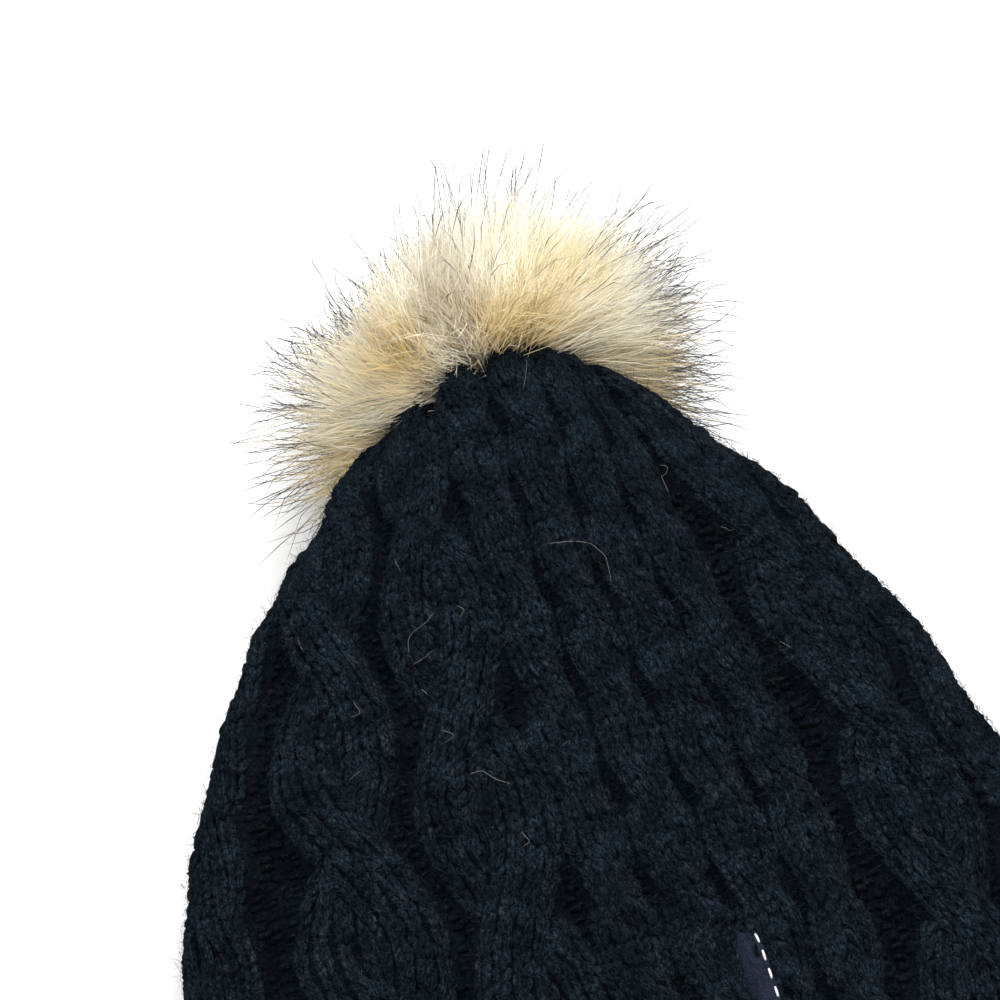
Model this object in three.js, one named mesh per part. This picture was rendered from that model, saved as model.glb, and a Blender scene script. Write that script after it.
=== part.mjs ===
// Cable knit hat with a faux fur pompom, lying on its underside. Millimetres, +Z up.
// The gathered crown end points along +Y, the open brim along -Y, and the surface it lies on is z = 0.
import * as THREE from "three";
import { mergeVertices } from "three/addons/utils/BufferGeometryUtils.js";

// Driving sizes of the body
const crownLength = 240;
const bandDepth = 45;
const widestHalf = 117;
const crownHeight = 86;
const restLift = 3;
const crownWall = 4;
const bandWall = 3.4;
const pieceGap = 0.3;
const originShare = 0.5625;
const sideHeightShare = 0.42;
const underRound = 3.2;

// Knit pattern: counts in stitches and rows, heights in millimetres
const stitchesRound = 129;
const rowHeight = 3.1;
const cableRows = 20;
const ropeRows = 10;
const ropePitch = 4.6;
const ropesInPanel = 4;
const horseshoeHalf = 4.8;
const leanPerRow = 0.052;
const leanMiddleRow = 45;
const ribCount = 26;
const ribRise = 2.4;
const endRelief = 0.4;

// Pompom and what holds it
const gatherHeight = 47;
const gatherHole = 5;
const furRadius = 55;
const furBehindEnd = 2;
const lockRise = 8;
const lockCount = 84;
const lockSpread = 0.27;
const furWrap = 10;
const wrapStart = 42;
const noseDepth = 8;
const noseRadius = 14;
const stemRadius = 2.6;
const buttonRadius = 9;
const buttonThick = 2.5;
const flangeRadius = 5.5;
const flangeThick = 0.8;

// Woven label in the groove between the second and the third rope
const labelWidth = 8;
const labelLength = 36;
const labelThick = 0.8;
const labelStartRow = 72;
const labelAcross = 3.2;

// Fineness of the faceted solids
const rowsPerStep = 2.86;
const turnStepsPerHorseshoe = 12;
const turnStepsPerRope = 4;
const innerSkip = 3;
const furTurnSteps = 40;
const furRings = 19;

const farEnd = originShare * crownLength;
const bodyLength = crownLength + bandDepth;
const gatherTopShare = (gatherHeight + 1.2 * gatherHole) / crownHeight;
const gatherBottomShare = (gatherHeight - 1.2 * gatherHole) / crownHeight;
const liftShare = restLift / crownHeight;

// Sections from the gather hole over the far end to the brim. along is a share of crownLength from the
// far end, half of widestHalf, top and bottom of crownHeight; round is the exponent of the upper curve.
const sections = [
  { along: 0.042, half: gatherHole / widestHalf, top: gatherTopShare, bottom: gatherBottomShare, round: 2.0 },
  { along: 0.029, half: 0.090, top: 0.690, bottom: 0.400, round: 2.0 },
  { along: 0.008, half: 0.160, top: 0.770, bottom: 0.255, round: 1.9 },
  { along: 0.000, half: 0.228, top: 0.838, bottom: 0.160, round: 1.9 },
  { along: 0.013, half: 0.312, top: 0.908, bottom: 0.090, round: 1.85 },
  { along: 0.050, half: 0.413, top: 0.978, bottom: liftShare * 1.2, round: 1.8 },
  { along: 0.125, half: 0.530, top: 1.000, bottom: liftShare, round: 1.85 },
  { along: 0.250, half: 0.677, top: 0.978, bottom: liftShare, round: 2.0 },
  { along: 0.417, half: 0.830, top: 0.908, bottom: liftShare, round: 2.1 },
  { along: 0.583, half: 0.942, top: 0.826, bottom: liftShare, round: 2.2 },
  { along: 0.750, half: 1.000, top: 0.744, bottom: liftShare, round: 2.2 },
  { along: 0.896, half: 0.984, top: 0.680, bottom: liftShare, round: 2.2 },
  { along: 1.000, half: 0.940, top: 0.650, bottom: liftShare, round: 2.2 },
  { along: bodyLength / crownLength, half: 0.880, top: 0.605, bottom: liftShare, round: 2.2 },
];

// Panels round the hat: centre in shares of a turn from the middle of the top, phase in rows.
// shift is how many rows the second cable of a horseshoe follows the first.
const panels = [
  { kind: "ropes", centre: 0.0236, phase: 3, shift: 0 },
  { kind: "horseshoe", centre: 0.1798, phase: 5, shift: 10 },
  { kind: "ropes", centre: 0.3248, phase: 5, shift: 0 },
  { kind: "horseshoe", centre: 0.5233, phase: 2, shift: 10 },
  { kind: "ropes", centre: 0.7225, phase: 1, shift: 0 },
  { kind: "horseshoe", centre: 0.8829, phase: 8.5, shift: 10 },
];

// Strand profiles: swing and half are in stitches, base, lift and crest in millimetres
const strandKinds = {
  ropes: { swing: 0.65, half: 1.7, base: 1.5, lift: 0.9, crest: 3.0, rows: ropeRows },
  horseshoe: { swing: 2.35, half: 2.7, base: 1.7, lift: 1.5, crest: 4.2, rows: cableRows },
};

const cables = panels.flatMap(cablesOfPanel);

function cablesOfPanel(panel) {
  const kind = strandKinds[panel.kind];
  if (panel.kind === "horseshoe") {
    return [
      { ...kind, centre: panel.centre * stitchesRound - horseshoeHalf, turn: 1, phase: panel.phase },
      { ...kind, centre: panel.centre * stitchesRound + horseshoeHalf, turn: -1, phase: panel.phase + panel.shift },
    ];
  }
  const ropes = [];
  for (let rope = 0; rope < ropesInPanel; rope += 1) {
    const offset = (rope - (ropesInPanel - 1) / 2) * ropePitch;
    ropes.push({ ...kind, centre: panel.centre * stitchesRound + offset, turn: 1, phase: panel.phase + rope * 1.5 });
  }
  return ropes;
}

// Smooth values of every column between the rows of the section table
function makeSectionSpline() {
  const rows = sections.map((s) => [
    s.along * crownLength,
    s.half * widestHalf,
    s.top * crownHeight,
    s.bottom * crownHeight,
    s.round,
  ]);
  const knots = [0];
  for (let i = 1; i < rows.length; i += 1) {
    const [dy, dw, dt] = [0, 1, 2].map((c) => rows[i][c] - rows[i - 1][c]);
    knots.push(knots[i - 1] + Math.sqrt(dy * dy + 0.35 * dw * dw + 0.5 * dt * dt));
  }
  const slope = (i, c) => (rows[i + 1][c] - rows[i][c]) / (knots[i + 1] - knots[i]);
  const tangent = (i, c) => {
    if (i === 0) return slope(0, c);
    if (i === rows.length - 1) return slope(i - 1, c);
    const before = knots[i] - knots[i - 1];
    const after = knots[i + 1] - knots[i];
    return (slope(i, c) * before + slope(i - 1, c) * after) / (before + after);
  };
  const at = (t) => {
    let i = 0;
    while (i < rows.length - 2 && knots[i + 1] < t) i += 1;
    const h = knots[i + 1] - knots[i];
    const s = (t - knots[i]) / h;
    return rows[0].map((_, c) =>
      (2 * s ** 3 - 3 * s ** 2 + 1) * rows[i][c] + (s ** 3 - 2 * s ** 2 + s) * h * tangent(i, c) +
      (3 * s ** 2 - 2 * s ** 3) * rows[i + 1][c] + (s ** 3 - s ** 2) * h * tangent(i + 1, c));
  };
  return { at, knots };
}

// Sections by the length of the fabric along the middle of the top, starting at the gather hole
const fabric = makeFabricTable();

function makeFabricTable() {
  const spline = makeSectionSpline();
  const steps = 480;
  const lastKnot = spline.knots[spline.knots.length - 1];
  const crownKnot = spline.knots[spline.knots.length - 2];
  const table = [];
  let length = 0;
  for (let i = 0; i <= steps; i += 1) {
    const values = spline.at((lastKnot * i) / steps);
    if (i > 0) {
      const last = table[i - 1].values;
      length += Math.hypot(values[0] - last[0], values[2] - last[2]);
    }
    table.push({ length, values, knot: (lastKnot * i) / steps });
  }
  const crownEnd = table.find((row) => row.knot >= crownKnot).length;
  const farEndRow = table.reduce((best, row) => (row.values[0] < best.values[0] ? row : best));
  return { table, crownEnd, lipAt: farEndRow.length, end: length };
}

function sectionAt(length) {
  const { table } = fabric;
  const clamped = Math.min(Math.max(length, 0), fabric.end);
  let i = Math.min(table.length - 2, Math.floor((clamped / fabric.end) * (table.length - 1)));
  while (i > 0 && table[i].length > clamped) i -= 1;
  while (i < table.length - 2 && table[i + 1].length < clamped) i += 1;
  const share = (clamped - table[i].length) / (table[i + 1].length - table[i].length);
  return table[i].values.map((value, c) => value + (table[i + 1].values[c] - value) * share);
}

// One closed section as a polyline with its running length; the turn starts at the middle of the top
function makeLoop(length) {
  const [along, half, top, bottom, round] = sectionAt(length);
  const middle = bottom + (top - bottom) * sideHeightShare;
  const steps = 240;
  const points = [];
  const run = [0];
  for (let i = 0; i <= steps; i += 1) {
    const angle = (2 * Math.PI * i) / steps;
    const side = Math.sin(angle);
    const up = Math.cos(angle);
    const power = 2 / (up > 0 ? round : underRound);
    const x = half * Math.sign(side) * Math.abs(side) ** power;
    const rise = Math.abs(up) ** power;
    const z = up > 0 ? middle + (top - middle) * rise : middle - (middle - bottom) * rise;
    points.push([x, z]);
    if (i > 0) run.push(run[i - 1] + Math.hypot(x - points[i - 1][0], z - points[i - 1][1]));
  }
  return { points, run, y: farEnd - along };
}

function onLoop(loop, turn) {
  const { points, run } = loop;
  const total = run[run.length - 1];
  const want = (turn - Math.floor(turn)) * total;
  let low = 0;
  let high = run.length - 1;
  while (high - low > 1) {
    const mid = (low + high) >> 1;
    if (run[mid] <= want) low = mid;
    else high = mid;
  }
  const share = (want - run[low]) / (run[high] - run[low]);
  const x = points[low][0] + (points[high][0] - points[low][0]) * share;
  const z = points[low][1] + (points[high][1] - points[low][1]) * share;
  return new THREE.Vector3(x, loop.y, z);
}

// A ring of fabric: point(turn, height) stands height millimetres out of the ground fabric.
// At the seam between crown and band the rings stay flat, so that the pieces keep their gap.
function makeRing(length) {
  const step = 0.4;
  const loop = makeLoop(length);
  const before = makeLoop(Math.max(length - step, 0));
  const after = makeLoop(Math.min(length + step, fabric.end));
  const fromSeam = Math.abs(length - fabric.crownEnd);
  const tilt = THREE.MathUtils.smoothstep(fromSeam, 2 * pieceGap, 5 * rowHeight);
  const point = (turn, height) => {
    const across = onLoop(loop, turn + 0.002).sub(onLoop(loop, turn - 0.002));
    const down = onLoop(after, turn).sub(onLoop(before, turn));
    const out = down.cross(across).normalize();
    out.y *= tilt;
    out.normalize();
    const place = onLoop(loop, turn).addScaledVector(out, height);
    place.z = Math.max(place.z, 0);
    return place;
  };
  return { point };
}

function leanAt(length) {
  return (leanPerRow * (length / rowHeight - leanMiddleRow)) / stitchesRound;
}

// Height of the strands over the ground fabric; turn is in the pattern, without the lean
function strandHeight(turn, length) {
  const row = length / rowHeight;
  let height = 0;
  for (const cable of cables) {
    let across = turn * stitchesRound - cable.centre;
    across -= stitchesRound * Math.round(across / stitchesRound);
    for (const side of [0, Math.PI]) {
      const angle = (Math.PI * (row - cable.phase)) / cable.rows + side;
      const offset = (across + cable.turn * cable.swing * Math.cos(angle)) / cable.half;
      if (Math.abs(offset) < 1) {
        const crest = cable.base + cable.lift * Math.sin(angle) + cable.crest * Math.sqrt(1 - offset * offset);
        height = Math.max(height, crest);
      }
    }
  }
  return height;
}

// The relief is pulled flat in the gather and where the cables run into the rib band
function reliefShare(length) {
  const shoulder = THREE.MathUtils.smoothstep(length, 0.7 * fabric.lipAt, 1.8 * fabric.lipAt);
  const hem = THREE.MathUtils.smoothstep(fabric.crownEnd - length, 0, 2.5 * rowHeight);
  return shoulder * (endRelief + (1 - endRelief) * hem);
}

// Columns of the faceted crown, aligned with the valleys and crests of the pattern
function patternColumns() {
  const columns = [];
  panels.forEach((panel, index) => {
    const isRopes = panel.kind === "ropes";
    const steps = isRopes ? ropesInPanel * turnStepsPerRope : turnStepsPerHorseshoe;
    const half = isRopes ? (ropesInPanel * ropePitch) / 2 : 2 * horseshoeHalf;
    for (let i = 0; i <= steps; i += 1) {
      columns.push(panel.centre + (half * (2 * i / steps - 1)) / stitchesRound);
    }
    const next = panels[(index + 1) % panels.length];
    const nextHalf = next.kind === "ropes" ? (ropesInPanel * ropePitch) / 2 : 2 * horseshoeHalf;
    const wrap = index === panels.length - 1 ? 1 : 0;
    const gap = (next.centre + wrap - panel.centre) * stitchesRound - half - nextHalf;
    const fill = Math.floor(gap / 1.9);
    for (let i = 1; i <= fill; i += 1) {
      columns.push(panel.centre + (half + (gap * i) / (fill + 1)) / stitchesRound);
    }
  });
  while (columns.length % innerSkip !== 0) {
    columns.push((columns[columns.length - 1] + columns[0] + 1) / 2);
  }
  return columns;
}

// Triangles between two closed rings of points, which may differ in count
function bridgeRings(triangles, startA, countA, startB, countB) {
  let a = 0;
  let b = 0;
  while (a < countA || b < countB) {
    const nextA = startA + ((a + 1) % countA);
    const nextB = startB + ((b + 1) % countB);
    const takeA = b >= countB || (a < countA && (a + 1) / countA <= (b + 1) / countB);
    if (takeA) {
      triangles.push(startA + (a % countA), nextA, startB + (b % countB));
      a += 1;
    } else {
      triangles.push(startA + (a % countA), nextB, startB + (b % countB));
      b += 1;
    }
  }
}

// Closed body from a list of rings, joined one to the next; a shell also joins its last ring to its first
function meshFromRings(rings, isShell) {
  const points = [];
  const starts = [];
  for (const ring of rings) {
    starts.push(points.length);
    points.push(...ring);
  }
  const triangles = [];
  for (let i = 0; i + 1 < rings.length; i += 1) {
    bridgeRings(triangles, starts[i], rings[i].length, starts[i + 1], rings[i + 1].length);
  }
  if (isShell) {
    const last = rings.length - 1;
    bridgeRings(triangles, starts[last], rings[last].length, starts[0], rings[0].length);
  }
  return closedGeometry(points, triangles);
}

function closedGeometry(points, triangles) {
  const kept = [];
  let volume = 0;
  for (let i = 0; i < triangles.length; i += 3) {
    const [a, b, c] = [points[triangles[i]], points[triangles[i + 1]], points[triangles[i + 2]]];
    volume += a.dot(b.clone().cross(c));
    kept.push([triangles[i], triangles[i + 1], triangles[i + 2]]);
  }
  const index = kept.flatMap(([a, b, c]) => (volume > 0 ? [a, b, c] : [a, c, b]));
  const geometry = new THREE.BufferGeometry();
  geometry.setAttribute("position", new THREE.Float32BufferAttribute(points.flatMap((p) => p.toArray()), 3));
  geometry.setIndex(index);
  return mergeVertices(geometry, 1e-4);
}

// Shell of fabric between two lengths: outer rings with the relief, then inner rings back again
function fabricShell(outerLengths, innerLengths, columns, wall, heightAt) {
  const rings = [];
  for (const length of outerLengths) {
    const ring = makeRing(length);
    const lean = leanAt(length);
    rings.push(columns.map((turn) => ring.point(turn + lean, heightAt(turn, length))));
  }
  const innerColumns = columns.filter((_, i) => i % innerSkip === 0);
  for (const length of innerLengths) {
    const ring = makeRing(length);
    const lean = leanAt(length);
    rings.push(innerColumns.map((turn) => ring.point(turn + lean, -wall)));
  }
  return meshFromRings(rings, true);
}

function evenSteps(from, to, steps) {
  return Array.from({ length: steps + 1 }, (_, i) => from + ((to - from) * i) / steps);
}

function crownRelief(turn, length) {
  return strandHeight(turn, length) * reliefShare(length);
}

function crownKnit() {
  const shoulder = 1.6 * fabric.lipAt;
  const bodySteps = Math.round((fabric.crownEnd - shoulder) / (rowsPerStep * rowHeight));
  const outer = [...evenSteps(0, shoulder, 7), ...evenSteps(shoulder, fabric.crownEnd, bodySteps).slice(1)];
  const inner = [...evenSteps(0, shoulder, 5), ...evenSteps(shoulder, fabric.crownEnd, 9).slice(1)].reverse();
  return fabricShell(outer, inner, patternColumns(), crownWall, crownRelief);
}

// Two-by-two rib: crests run along the band, with four columns to a rib
function brimRibBand() {
  const start = fabric.crownEnd + pieceGap;
  const profile = [0, 0.35, 1, 0.35];
  const columns = evenSteps(0, 1, ribCount * profile.length).slice(0, -1);
  while (columns.length % innerSkip !== 0) {
    columns.push((columns[columns.length - 1] + 1) / 2);
  }
  const outer = evenSteps(start, fabric.end, 4);
  const inner = evenSteps(start, fabric.end, 2).reverse();
  const heightAt = (turn, length) => {
    const place = Math.round(turn * ribCount * profile.length) % profile.length;
    const hem = THREE.MathUtils.smoothstep(fabric.end - length, -2, 5);
    return ribRise * profile[place] * hem;
  };
  return fabricShell(outer, inner, columns, bandWall, heightAt);
}

// Even directions over a ball, one for each lock of fur
function lockDirections() {
  const golden = Math.PI * (3 - Math.sqrt(5));
  return Array.from({ length: lockCount }, (_, i) => {
    const rise = 1 - (2 * (i + 0.5)) / lockCount;
    const around = Math.sqrt(1 - rise * rise);
    return new THREE.Vector3(around * Math.cos(golden * i), rise, around * Math.sin(golden * i));
  });
}

const pompomCentre = new THREE.Vector3(0, farEnd + furBehindEnd, gatherHeight);
const frontFace = foremostCrownPoint() + pieceGap;

function foremostCrownPoint() {
  const columns = patternColumns();
  const lengths = evenSteps(0.6 * fabric.lipAt, 1.8 * fabric.lipAt, 16);
  return Math.max(...lengths.flatMap((length) => {
    const ring = makeRing(length);
    return columns.map((turn) => ring.point(turn + leanAt(length), crownRelief(turn, length)).y);
  }));
}

// Ball of fur in locks, pressed flat by the crown's end in front and by what it lies on
function pompom() {
  const locks = lockDirections();
  const rings = [];
  for (let ring = 1; ring < furRings; ring += 1) {
    const polar = (Math.PI * ring) / furRings;
    const points = [];
    for (let i = 0; i < furTurnSteps; i += 1) {
      const around = (2 * Math.PI * (i + (ring % 2) / 2)) / furTurnSteps;
      const aim = new THREE.Vector3(
        Math.sin(polar) * Math.cos(around), Math.cos(polar), Math.sin(polar) * Math.sin(around));
      points.push(furPoint(aim, locks));
    }
    rings.push(points);
  }
  rings.unshift([furPoint(new THREE.Vector3(0, 1, 0), locks)]);
  rings.push([furPoint(new THREE.Vector3(0, -1, 0), locks)]);
  return meshFromRings(rings, false);
}

// A point of the fur's outside, seen from a place inside the dome; both flat sides cut the ray short
function furPoint(aim, locks) {
  const inside = pompomCentre.clone();
  inside.y += furRadius / 2;
  const offset = inside.clone().sub(pompomCentre);
  const along = aim.dot(offset);
  const toBall = Math.sqrt(along * along - offset.lengthSq() + furRadius * furRadius) - along;
  const direction = offset.addScaledVector(aim, toBall).normalize();
  let rise = 0;
  locks.forEach((lock, i) => {
    const near = 1 - direction.angleTo(lock) / lockSpread;
    if (near > 0) rise = Math.max(rise, lockRise * (0.75 + 0.25 * Math.sin(7 * i)) * near ** 1.3);
  });
  const toFront = aim.y < 0 ? (frontFace - inside.y) / aim.y : Infinity;
  const toFloor = aim.z < 0 ? -inside.z / aim.z : Infinity;
  const place = inside.addScaledVector(aim, Math.min(toBall + rise, toFront, toFloor));
  if (toFront < toBall + rise) {
    const fromAxis = Math.hypot(place.x, place.z - gatherHeight);
    place.y -= noseDepth * Math.max(0, 1 - (fromAxis / noseRadius) ** 2);
    const upperHalf = THREE.MathUtils.smoothstep(place.z, 0.6 * gatherHeight, gatherHeight);
    place.y -= furWrap * upperHalf * THREE.MathUtils.smoothstep(fromAxis, wrapStart, furRadius);
  }
  return place;
}

// Button inside the gather, stem through its hole and a small flange against the pompom
function pompomTie() {
  const noseTip = frontFace - noseDepth;
  const holeInside = innerHoleFace();
  const profile = [
    [0, holeInside - pieceGap - buttonThick],
    [buttonRadius, holeInside - pieceGap - buttonThick],
    [buttonRadius, holeInside - pieceGap],
    [stemRadius, holeInside - pieceGap],
    [stemRadius, noseTip - pieceGap - flangeThick],
    [flangeRadius, noseTip - pieceGap - flangeThick],
    [flangeRadius, noseTip - pieceGap],
    [0, noseTip - pieceGap],
  ].map(([radius, y]) => new THREE.Vector2(radius, y));
  const geometry = new THREE.LatheGeometry(profile, 16);
  geometry.deleteAttribute("normal");
  geometry.deleteAttribute("uv");
  geometry.translate(0, 0, gatherHeight);
  return mergeVertices(geometry, 1e-4);
}

// The lowest y of the gathered fabric round the hole, on its inner side
function innerHoleFace() {
  const ring = makeRing(0);
  return Math.min(...evenSteps(0, 1, 24).map((turn) => ring.point(turn, -crownWall).y));
}

// Thin strip that follows the fabric and lies on the crests of the ropes beside its groove
function wovenLabel() {
  const start = labelStartRow * rowHeight;
  const stitch = (2 * Math.PI * widestHalf * 0.71) / stitchesRound;
  const halfTurn = labelWidth / 2 / stitch / stitchesRound;
  const centre = labelAcross / stitchesRound;
  const rings = [];
  for (const length of evenSteps(start, start + labelLength, 6)) {
    const ring = makeRing(length);
    const share = length < fabric.crownEnd ? reliefShare(length) : 0;
    const samples = evenSteps(centre - 1.3 * halfTurn, centre + 1.3 * halfTurn, 12);
    const crest = Math.max(...samples.map((turn) => strandHeight(turn, length) * share));
    const seat = Math.max(crest, length > fabric.crownEnd - rowHeight ? ribRise : 0) + 2 * pieceGap;
    const lean = leanAt(length);
    rings.push([
      ring.point(centre - halfTurn + lean, seat),
      ring.point(centre + halfTurn + lean, seat),
      ring.point(centre + halfTurn + lean, seat + labelThick),
      ring.point(centre - halfTurn + lean, seat + labelThick),
    ]);
  }
  const middle = (ring) => [ring[0].clone().add(ring[2]).multiplyScalar(0.5)];
  return meshFromRings([middle(rings[0]), ...rings, middle(rings[rings.length - 1])], false);
}

const darkWool = new THREE.MeshStandardMaterial({ color: 0x14181d, roughness: 0.95, metalness: 0 });
const darkRib = new THREE.MeshStandardMaterial({ color: 0x12161b, roughness: 0.95, metalness: 0 });
const fur = new THREE.MeshStandardMaterial({ color: 0xb9a06a, roughness: 0.9, metalness: 0 });
const cordMaterial = new THREE.MeshStandardMaterial({ color: 0x22242a, roughness: 0.7, metalness: 0 });
const satin = new THREE.MeshStandardMaterial({ color: 0x0c0d10, roughness: 0.45, metalness: 0 });

const hat = new THREE.Group();

function addPiece(name, geometry, material) {
  const mesh = new THREE.Mesh(geometry, material);
  mesh.name = name;
  hat.add(mesh);
}

addPiece("crown_knit", crownKnit(), darkWool);
addPiece("brim_rib_band", brimRibBand(), darkRib);
addPiece("pompom", pompom(), fur);
addPiece("pompom_tie", pompomTie(), cordMaterial);
addPiece("woven_label", wovenLabel(), satin);

export default hat;
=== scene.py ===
"""Cable knit hat with a faux fur pompom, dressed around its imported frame. Metres, +Z up."""
import math
import bpy
import numpy as np
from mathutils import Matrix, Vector


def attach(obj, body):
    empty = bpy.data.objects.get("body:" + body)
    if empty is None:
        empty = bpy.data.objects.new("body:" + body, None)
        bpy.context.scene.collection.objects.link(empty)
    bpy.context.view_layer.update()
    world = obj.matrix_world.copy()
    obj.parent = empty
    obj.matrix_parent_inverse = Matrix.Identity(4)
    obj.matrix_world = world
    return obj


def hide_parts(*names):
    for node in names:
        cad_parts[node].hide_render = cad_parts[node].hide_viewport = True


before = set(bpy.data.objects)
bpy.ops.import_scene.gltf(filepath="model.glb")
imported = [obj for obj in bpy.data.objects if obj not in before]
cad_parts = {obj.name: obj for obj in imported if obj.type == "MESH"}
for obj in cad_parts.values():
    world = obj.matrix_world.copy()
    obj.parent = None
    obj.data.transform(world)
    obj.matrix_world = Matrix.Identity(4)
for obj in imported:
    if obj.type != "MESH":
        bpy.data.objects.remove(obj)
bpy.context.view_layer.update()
MM = 0.001

# Hat body, as in the part's source
CROWN_LENGTH = 240 * MM
BAND_DEPTH = 45 * MM
WIDEST_HALF = 117 * MM
CROWN_HEIGHT = 86 * MM
REST_LIFT = 3 * MM
CROWN_WALL = 4 * MM
BAND_WALL = 3.4 * MM
FAR_END = 0.5625 * CROWN_LENGTH
SIDE_HEIGHT_SHARE = 0.42
UNDER_ROUND = 3.2
GATHER_HEIGHT = 47 * MM
GATHER_HOLE = 5 * MM
LIFT_SHARE = REST_LIFT / CROWN_HEIGHT
GATHER_TOP = (GATHER_HEIGHT + 1.2 * GATHER_HOLE) / CROWN_HEIGHT
GATHER_BOTTOM = (GATHER_HEIGHT - 1.2 * GATHER_HOLE) / CROWN_HEIGHT

# Knit pattern, in stitches and rows
STITCHES = 129
ROW = 3.1 * MM
ROPE_PITCH = 4.6
ROPES_IN_PANEL = 4
ROPE_PHASE_STEP = 1.5
HORSESHOE_HALF = 4.8
LEAN_PER_ROW = 0.052
LEAN_MIDDLE_ROW = 45
RIBS = 26
RIB_RISE = 2.4 * MM
END_RELIEF = 0.4
STITCH_ROWS = 1.3
STITCH_SINK = 1.2 * MM
STRAY_RADIUS = 0.016
YARN_GRAIN = (7.0, 1.7, 7.0)
SLUB = 0.28 * MM

# Folds pulled in by the gather: their places round the hat in stitches, their depth and half width
GATHER_FOLDS = [-15.5, -7.0, -1.6, 12.6, 31.0, 44.0, 58.0, 80.0, 96.0, 106.0]
FOLD_DEPTH = 3.4 * MM
FOLD_HALF = 1.3

# Sag of the lobes of fabric over the gather: by stitches from the middle of the top, in metres
SAG_PLACES = [-44.0, -30.0, -8.0, -5.4, -2.6, -0.6, 10.5, 14.0, 24.0, 38.0]
SAG_DEPTHS = [0.0, 6.5 * MM, 8.0 * MM, 2.6 * MM, 1.0 * MM, 0.6 * MM, 0.0, 3.5 * MM, 3.0 * MM, 0.0]
SAG_AIM = (0, -0.76, -0.65)

# Fans of fabric toward a fold: shift, middle and half width in stitches
GATHER_FANS = [(2.8, 5, 6.5), (-1.6, -7, 3.5)]

# How far along the fabric the folds, the fans and the sag reach, in lengths from the gather to the lip
FOLD_REACH = 3.2
FAN_REACH = 5.0
SAG_REACH = 4.6

# How far the hat lies wider on its left than on its right, and where across it that starts and is full
LEFT_SPREAD = 4.5 * MM
RIGHT_SPREAD = -1.5 * MM
SPREAD_START = 75 * MM
SPREAD_FULL = 114 * MM

# Sections from the gather hole to the brim: along is a share of CROWN_LENGTH, half of WIDEST_HALF,
# top and bottom of CROWN_HEIGHT; round is the exponent of the upper curve
SECTIONS = [
    # along, half, top, bottom, round
    (0.042, GATHER_HOLE / WIDEST_HALF, GATHER_TOP, GATHER_BOTTOM, 2.0),
    (0.029, 0.090, 0.690, 0.400, 2.0),
    (0.008, 0.160, 0.770, 0.255, 1.9),
    (0.000, 0.228, 0.838, 0.160, 1.9),
    (0.013, 0.312, 0.908, 0.090, 1.85),
    (0.050, 0.413, 0.978, LIFT_SHARE * 1.2, 1.8),
    (0.125, 0.530, 1.000, LIFT_SHARE, 1.85),
    (0.250, 0.677, 0.978, LIFT_SHARE, 2.0),
    (0.417, 0.830, 0.908, LIFT_SHARE, 2.1),
    (0.583, 0.942, 0.826, LIFT_SHARE, 2.2),
    (0.750, 1.000, 0.744, LIFT_SHARE, 2.2),
    (0.896, 0.984, 0.680, LIFT_SHARE, 2.2),
    (1.000, 0.940, 0.650, LIFT_SHARE, 2.2),
    ((CROWN_LENGTH + BAND_DEPTH) / CROWN_LENGTH, 0.880, 0.605, LIFT_SHARE, 2.2),
]

# Panels round the hat: centre in shares of a turn from the middle of the top, phase and shift in rows
PANELS = [
    {"name": "top", "kind": "ropes", "centre": 0.0236, "phase": 3, "shift": 0, "fine": True},
    {"name": "right", "kind": "horseshoe", "centre": 0.1798, "phase": 5, "shift": 10, "fine": True},
    {"name": "right", "kind": "ropes", "centre": 0.3248, "phase": 5, "shift": 0, "fine": False},
    {"name": "under", "kind": "horseshoe", "centre": 0.5233, "phase": 2, "shift": 10, "fine": False},
    {"name": "left", "kind": "ropes", "centre": 0.7225, "phase": 1, "shift": 0, "fine": False},
    {"name": "left", "kind": "horseshoe", "centre": 0.8829, "phase": 8.5, "shift": 10, "fine": True},
]

# Strand profiles: swing and half in stitches, base, lift and crest in metres, wales across one strand
STRANDS = {
    "ropes": {"swing": 0.65, "half": 1.8, "base": 0.5 * MM, "lift": 0.9 * MM, "crest": 4.0 * MM,
              "rows": 10, "wales": 3, "wale_step": 0.65},
    "horseshoe": {"swing": 2.35, "half": 2.7, "base": 0.6 * MM, "lift": 1.5 * MM, "crest": 5.3 * MM,
                  "rows": 20, "wales": 4, "wale_step": 0.5},
}


def smooth(value, low, high):
    """Smooth step from 0 at low to 1 at high."""
    share = np.clip((np.asarray(value, float) - low) / (high - low), 0, 1)
    return share * share * (3 - 2 * share)


def cables_of(panel):
    """The cables of one panel, each with its centre in stitches and its direction of twist."""
    kind = STRANDS[panel["kind"]]
    centre = panel["centre"] * STITCHES
    if panel["kind"] == "horseshoe":
        return [dict(kind, centre=centre - HORSESHOE_HALF, turn=1, phase=panel["phase"]),
                dict(kind, centre=centre + HORSESHOE_HALF, turn=-1, phase=panel["phase"] + panel["shift"])]
    middle = (ROPES_IN_PANEL - 1) / 2
    return [dict(kind, centre=centre + (rope - middle) * ROPE_PITCH, turn=1,
                 phase=panel["phase"] + rope * ROPE_PHASE_STEP)
            for rope in range(ROPES_IN_PANEL)]


def round_hat(offset):
    """Offsets in stitches, taken the short way round the hat."""
    return offset - STITCHES * np.round(offset / STITCHES)


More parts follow.
